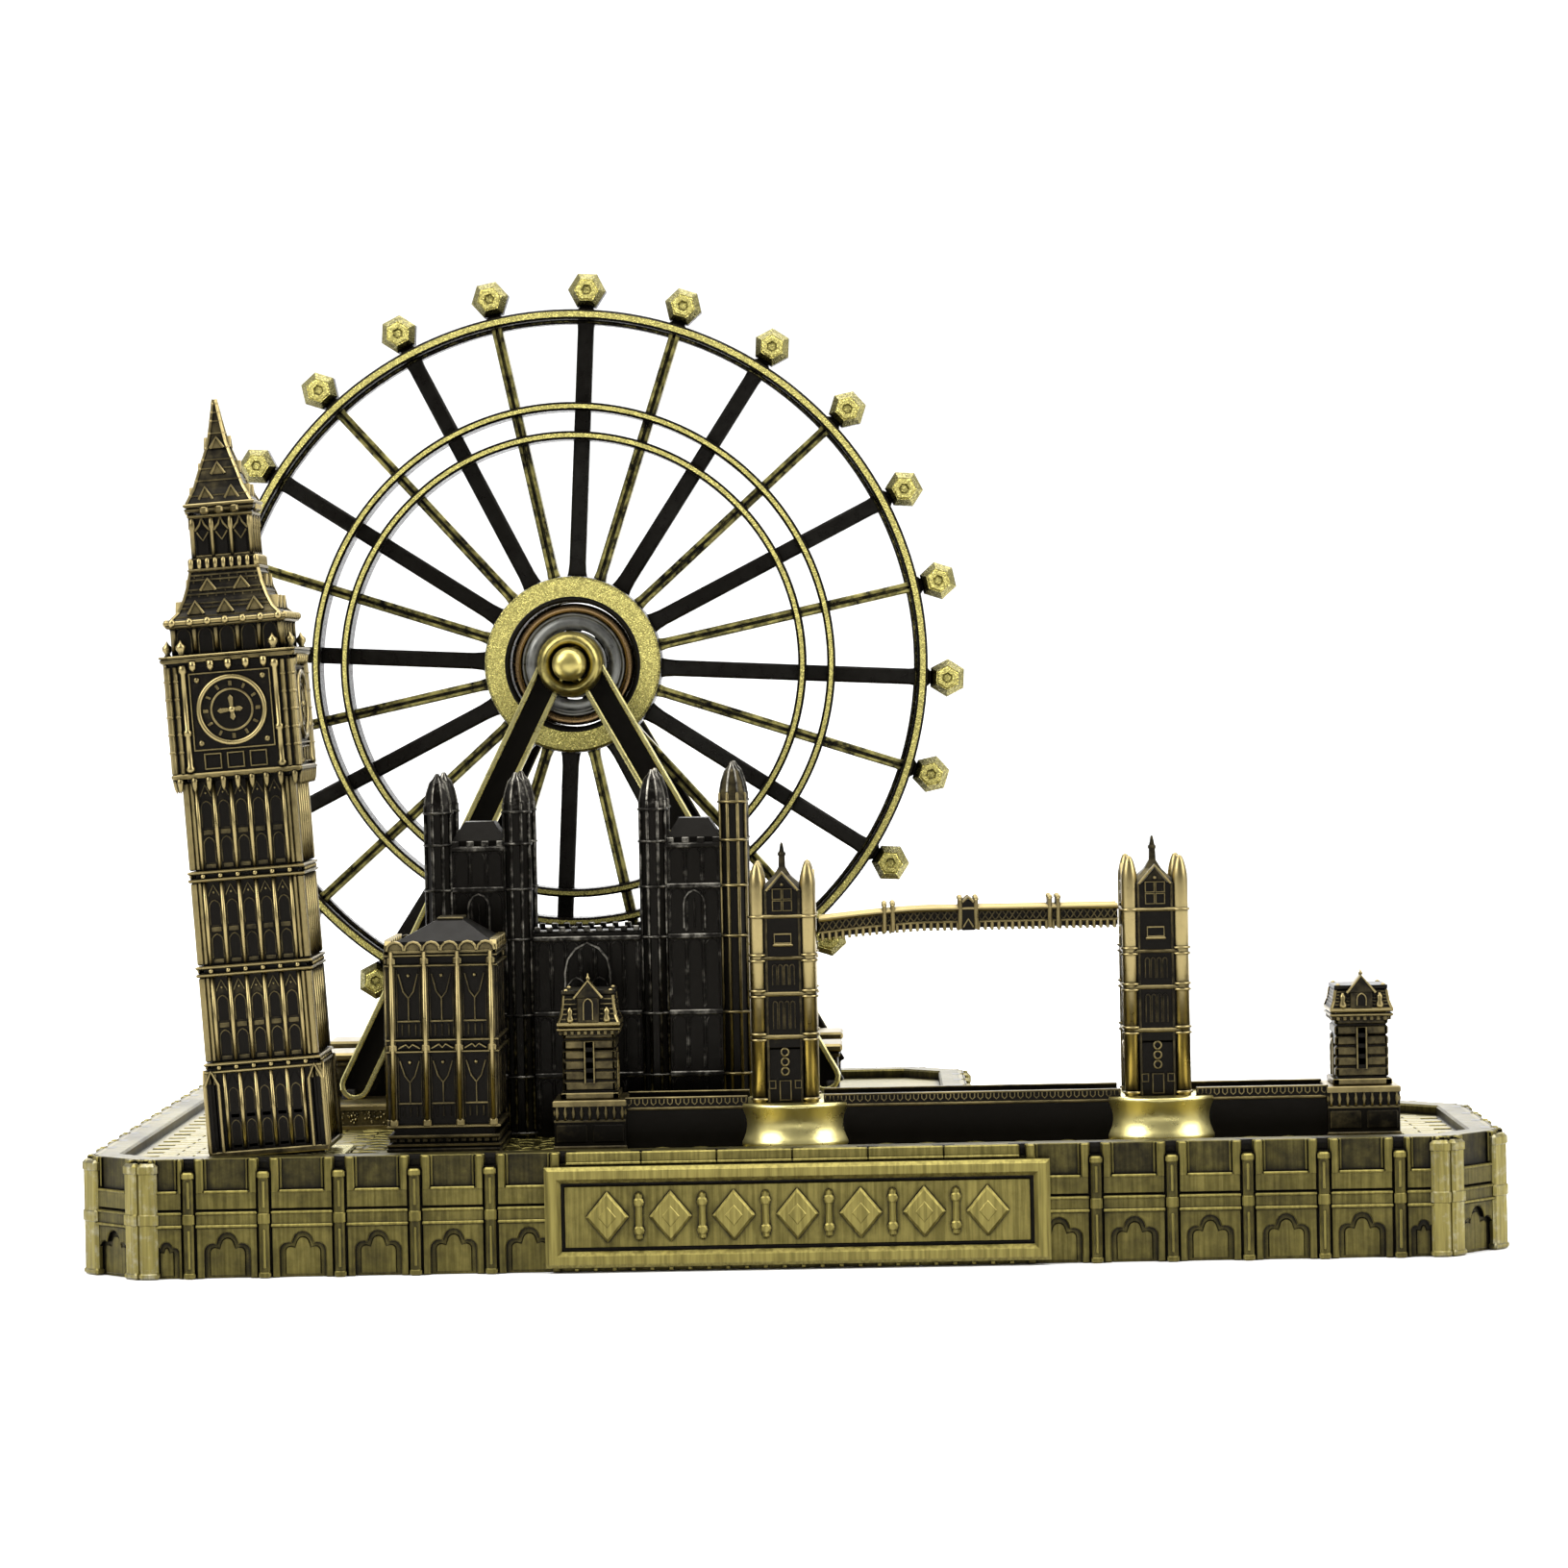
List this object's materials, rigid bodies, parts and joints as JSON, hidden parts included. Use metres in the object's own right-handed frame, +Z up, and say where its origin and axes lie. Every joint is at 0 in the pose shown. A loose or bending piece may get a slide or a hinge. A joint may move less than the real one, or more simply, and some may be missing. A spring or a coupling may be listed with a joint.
{
  "type": "souvenir figurine",
  "caption": "Cast city-skyline souvenir: chamfered base tray with clock tower, palace block, abbey, towered bridge and a wheel that spins on a ball bearing between two A-frames.",
  "frame": {"origin": "centre of the footprint, on the surface the base stands on", "axes": "+X to the right along the front wall, +Y from the front wall to the rear along the wheel's axle, +Z up"},
  "size_m": [0.169, 0.115, 0.1226],
  "materials": {
    "antique_brass": "antique brass plating, brushed on the raised faces and darkened in the recesses",
    "dark_brass": "dark antique brass plating, bright only on its edges and ribs",
    "blackened": "blackened brass plating, semi-gloss",
    "bearing_steel": "ground bearing steel",
    "screw_zinc": "zinc-plated steel"
  },
  "bodies": {
    "stand": {"base_tray": "antique_brass", "name_plate": "antique_brass", "wheel_plinth": "dark_brass", "front_a_frame": "dark_brass", "rear_a_frame": "dark_brass", "axle": "antique_brass", "axle_cap": "antique_brass", "front_spacer": "blackened", "rear_spacer": "blackened", "bearing_inner_ring": "bearing_steel", "clock_tower": "dark_brass", "clock_tower_foot": "antique_brass", "palace_block": "dark_brass", "abbey": "blackened", "bridge_deck": "dark_brass", "bridge_tower_left": "dark_brass", "bridge_tower_right": "dark_brass", "bridge_end_tower_left": "dark_brass", "bridge_end_tower_right": "dark_brass", "bridge_walkway": "dark_brass", "clock_tower_screw": "screw_zinc", "palace_screw": "screw_zinc", "abbey_screw_left": "screw_zinc", "abbey_screw_right": "screw_zinc", "bridge_screw_left": "screw_zinc", "bridge_screw_middle": "screw_zinc", "bridge_screw_right": "screw_zinc", "plinth_screw_left": "screw_zinc", "plinth_screw_right": "screw_zinc"},
    "bearing_cage": {"bearing_cage": "bearing_steel", "bearing_ball_1": "bearing_steel", "bearing_ball_2": "bearing_steel", "bearing_ball_3": "bearing_steel", "bearing_ball_4": "bearing_steel", "bearing_ball_5": "bearing_steel", "bearing_ball_6": "bearing_steel", "bearing_ball_7": "bearing_steel"},
    "wheel": {"observation_wheel": "antique_brass", "bearing_outer_ring": "bearing_steel", "bearing_front_shield": "bearing_steel", "bearing_rear_shield": "bearing_steel"}
  },
  "joints": [
    {"name": "wheel_spin", "type": "hinge", "parent": "stand", "child": "wheel", "pos_m": [-0.0285, 0.0153, 0.0713], "axis": [0, 1, 0], "continuous": true},
    {"name": "cage_orbit", "type": "hinge", "parent": "stand", "child": "bearing_cage", "pos_m": [-0.0285, 0.0153, 0.0713], "axis": [0, 1, 0], "continuous": true}
  ],
  "couplings": [
    {"joint": "cage_orbit", "follows": "wheel_spin", "ratio": 0.632}
  ]
}
